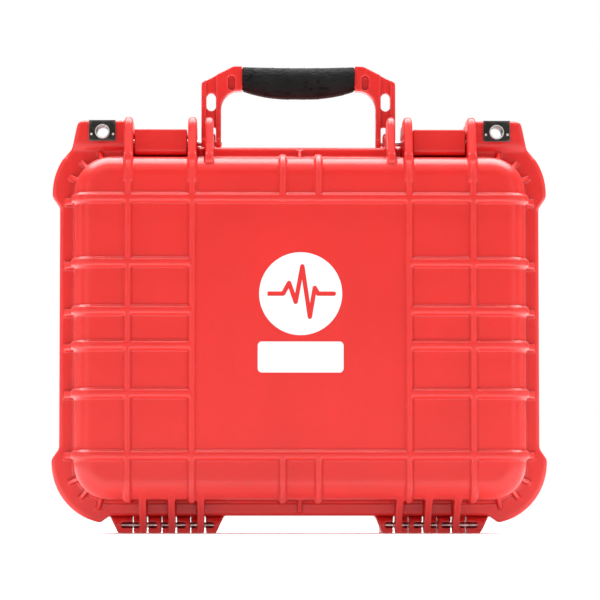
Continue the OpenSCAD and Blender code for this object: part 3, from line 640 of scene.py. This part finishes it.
def pouch():
    """A sealed foil pouch: flat welded rim, crowned middle, creases that run in from the rim."""
    low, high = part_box("pads_pouch")
    middle = (low + high) / 2
    half_x, half_y, half_z = (high - low) / 2
    rim = 7 * MM
    corner = 6 * MM
    film = 0.25 * MM
    across, up = 110, 240

    def place(i, j, side):
        """The point in column i and row j, on the front (side -1), the back (1) or the edge (0)."""
        u, v = 2 * i / across - 1, 2 * j / up - 1
        x, z = u * half_x, v * half_z
        # Round the outline's corners
        over_x, over_z = abs(x) - (half_x - corner), abs(z) - (half_z - corner)
        if over_x > 0 and over_z > 0:
            reach = math.hypot(over_x, over_z)
            limit = corner * max(over_x, over_z) / reach
            shrink = limit / max(over_x, over_z)
            x = math.copysign(half_x - corner + over_x * shrink, x)
            z = math.copysign(half_z - corner + over_z * shrink, z)
        inset = min(half_x - abs(x), half_z - abs(z))
        rise = max(0.0, inset - rim)
        crown = (1 - math.exp(-rise / (9 * MM))) * min(1.0, rise / (5 * MM)) ** 0.5
        # Fine creases near the rim, and broad waves in the slack middle
        creasing = math.sin(x / (5.2 * MM)) * math.sin(z / (6.1 * MM) + 1.3 * math.sin(x / (11 * MM)))
        crease = 0.35 * MM * creasing * math.exp(-rise / (8 * MM))
        slack = 0.8 * MM * math.sin(z / (19 * MM) + 0.8 * math.sin(x / (13 * MM))) * crown
        # On the rim both faces follow the same creases, and on the crown each has its own
        apart = min(1.0, crown * 4)
        y = side * (film + (half_y - 1.6 * MM) * crown + (crease + slack) * apart)
        return Vector((middle.x + x, middle.y + y + crease * (1 - apart), middle.z + z))

    vertices, faces, index = [], [], {}
    for side in (-1, 1):
        for i in range(across + 1):
            for j in range(up + 1):
                edge = i in (0, across) or j in (0, up)
                index[side, i, j] = index[-1, i, j] if edge and side == 1 else len(vertices)
                if not (edge and side == 1):
                    vertices.append(place(i, j, 0 if edge else side))
        for i in range(across):
            for j in range(up):
                corners = ((i, j), (i + 1, j), (i + 1, j + 1), (i, j + 1))
                quad = [index[side, m, n] for m, n in corners]
                faces.append(quad if side == -1 else quad[::-1])
    finish_piece(new_piece("foil_pouch", vertices, faces), "pads_pouch")


pouch()


# ---- the display's picture ----


def display_trace():
    """A calm heart rhythm as a thin raised line on the display."""
    low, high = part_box("display_window")
    panel_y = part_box("display_module")[0].y
    width, height = high.x - low.x, high.z - low.z
    # One beat: its time from 0 to 1 and its height as a share of the tallest possible
    beat = [(0.0, 0), (0.3, 0), (0.36, 0.12), (0.42, 0), (0.47, -0.1), (0.5, 0.8), (0.54, -0.28),
            (0.58, 0), (0.7, 0.16), (0.8, 0)]
    beats, line = 3, 0.5 * MM
    margin, swing = 0.08, 0.33
    path = [((n + t) / beats, h) for n in range(beats) for t, h in beat] + [(1.0, 0.0)]
    middle_z = (low.z + high.z) / 2
    points = [Vector((low.x + width * (margin + (1 - 2 * margin) * t), middle_z + h * height * swing))
              for t, h in path]
    vertices, faces = [], []
    for a, b in zip(points, points[1:]):
        run = (b - a).normalized()
        out = Vector((-run.y, run.x)) * line / 2
        a, b = a - run * line / 2, b + run * line / 2
        start = len(vertices)
        for y in (panel_y - 0.25 * MM, panel_y + 0.05 * MM):
            for p in (a - out, b - out, b + out, a + out):
                vertices.append((p.x, y, p.y))
        front, back = range(start, start + 4), range(start + 4, start + 8)
        faces += [tuple(front), tuple(reversed(back))]
        faces += [(front[k], back[k], back[(k + 1) % 4], front[(k + 1) % 4]) for k in range(4)]
    piece = new_piece("display_trace", vertices, faces)
    paint(piece, "lens_green")
    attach(piece, body_of("display_module"))


display_trace()


# ---- CAD nodes that stay ----

BEVELS = {
    "lid_padlock_plates": 0.25, "base_padlock_plates": 0.25, "hinge_pins": 0.25, "latch_pins": 0.25,
    "catch_pins": 0.25, "pulse_emblem": 0.12, "label_plate": 0.12, "lid_seal": 0.5, "unit_front_case": 0.5,
    "unit_back_case": 0.5, "power_button": 0.3, "shock_button": 0.3, "info_button": 0.3,
    "purge_valve_body": 0.4, "pads_socket": 0.4, "pads_plug": 0.8, "status_lens": 0.3, "battery_pack": 0.8,
}
for node, piece in nodes.items():
    if piece.hide_render:
        continue
    paint(piece, slot_of(node))
    smooth(piece)
    modifier(piece, "WELD", merge_threshold=WELD_GAP)
    modifier(piece, "DECIMATE", decimate_type="DISSOLVE", angle_limit=math.radians(0.5))
    modifier(piece, "BEVEL", width=BEVELS.get(node, 0.15) * MM, segments=2, limit_method="ANGLE",
             angle_limit=math.radians(35))
    weight_normals(piece)


# ---- studio ----


def softbox(name, place, target, width, height, radiance):
    """A square lamp whose face has the given radiance; it doesn't show in the picture."""
    lamp = bpy.data.lights.new(name, "AREA")
    lamp.shape = "RECTANGLE"
    lamp.size, lamp.size_y = width, height
    lamp.energy = radiance * math.pi * width * height
    holder = bpy.data.objects.new(name, lamp)
    bpy.context.scene.collection.objects.link(holder)
    holder.location = place
    holder.rotation_mode = "QUATERNION"
    holder.rotation_quaternion = (Vector(target) - Vector(place)).to_track_quat("-Z", "Y")
    holder.visible_camera = False


# Side lamps light the front and rim lamps the sides. The overhead lamp and the one in front of it make
# the bright band along the lid's top rounding, the low one lifts its bottom rounding, and the last one
# lights the back.
centre = Vector((0, SPLIT_Y, MIDDLE_Z))
for side in (-1, 1):
    softbox("side", (side * 1.55, -1.65, 0.35), centre, 0.9, 1.9, 0.78)
    softbox("rim", (side * 2.0, -0.1, 0.4), centre, 0.9, 1.2, 0.6)
softbox("overhead", (0, 0.35, 1.6), (0, 0.35, 0), 2.4, 1.4, 8.5)
softbox("top_front", (0, -1.2, 1.75), centre, 2.0, 1.1, 0.75)
softbox("low_front", (0, -1.1, 0.16), centre, 2.4, 0.28, 0.25)
softbox("behind", (0, 2.1, 1.1), centre, 2.4, 1.2, 1.1)

# The camera sees pure white, while everything else is lit by a dimmer white
AMBIENT = 0.22
world = bpy.data.worlds.new("studio")
world.use_nodes = True
bpy.context.scene.world = world
background = world.node_tree.nodes["Background"]
light_path = world.node_tree.nodes.new("ShaderNodeLightPath")
strength = world.node_tree.nodes.new("ShaderNodeMapRange")
strength.inputs["To Min"].default_value = AMBIENT
strength.inputs["To Max"].default_value = 1.0
world.node_tree.links.new(light_path.outputs["Is Camera Ray"], strength.inputs["Value"])
world.node_tree.links.new(strength.outputs["Result"], background.inputs["Strength"])
background.inputs["Color"].default_value = (1, 1, 1, 1)

# Half the floor's width
FLOOR = 6.0
corners = [(-FLOOR, -FLOOR, 0), (FLOOR, -FLOOR, 0), (FLOOR, FLOOR, 0), (-FLOOR, FLOOR, 0)]
floor = new_piece("studio_floor", corners, [(0, 1, 2, 3)])
floor_look = Shader("studio_floor")
floor_tint = floor_look.mix(floor_look.noise(0.4, 3.0), (0.86, 0.86, 0.86), (0.9, 0.9, 0.9))
# The floor's own glow rises away from the case, so that it fades into the white behind it
NEAR_GLOW, FAR_GLOW = 0.27, 1.0
away = floor_look.add("ShaderNodeVectorMath", {0: floor_look.coords}, operation="LENGTH").outputs["Value"]
glow = floor_look.ramp(away, 0.6, 2.0, NEAR_GLOW, FAR_GLOW)
floor_look.look(Emission_Color=(1, 1, 1, 1), Emission_Strength=glow)
floor.data.materials.append(floor_look.look(Base_Color=floor_tint, Roughness=0.6))
# An upright case would meet the floor with its opening lid, so the floor drops as the lid swings down
lid_hinge = next(joint for joint in frame["joints"] if joint["name"] == "lid_hinge")
LID_SWING = math.radians(lid_hinge["range_deg"][1])
DROP = 150 * MM
drop = floor.constraints.new("TRANSFORM")
drop.target = frame["bodies"]["lid"]
drop.map_from, drop.map_to, drop.map_to_z_from = "ROTATION", "LOCATION", "X"
drop.from_max_x_rot = LID_SWING
drop.to_max_z = -DROP

bpy.context.scene.view_settings.view_transform = "Standard"

# The camera stands well back, a little left of the middle and a little under the case's centre
DISTANCE = 2.5
# Width of the picture at that distance
VIEW_WIDTH = 0.4414
TURN = math.radians(1.1)
RISE = math.radians(-3.6)
target = Vector((0.4 * MM, SPLIT_Y, 171.4 * MM))
camera = bpy.data.objects.new("camera", bpy.data.cameras.new("camera"))
bpy.context.scene.collection.objects.link(camera)
toward = Vector((math.sin(TURN) * math.cos(RISE), math.cos(TURN) * math.cos(RISE), -math.sin(RISE)))
camera.location = target - toward * DISTANCE
camera.rotation_mode = "QUATERNION"
camera.rotation_quaternion = toward.to_track_quat("-Z", "Y")
SENSOR = 36
camera.data.sensor_width = SENSOR
camera.data.lens = SENSOR / (VIEW_WIDTH / DISTANCE)
camera.data.clip_start, camera.data.clip_end = 0.05, 40
bpy.context.scene.camera = camera
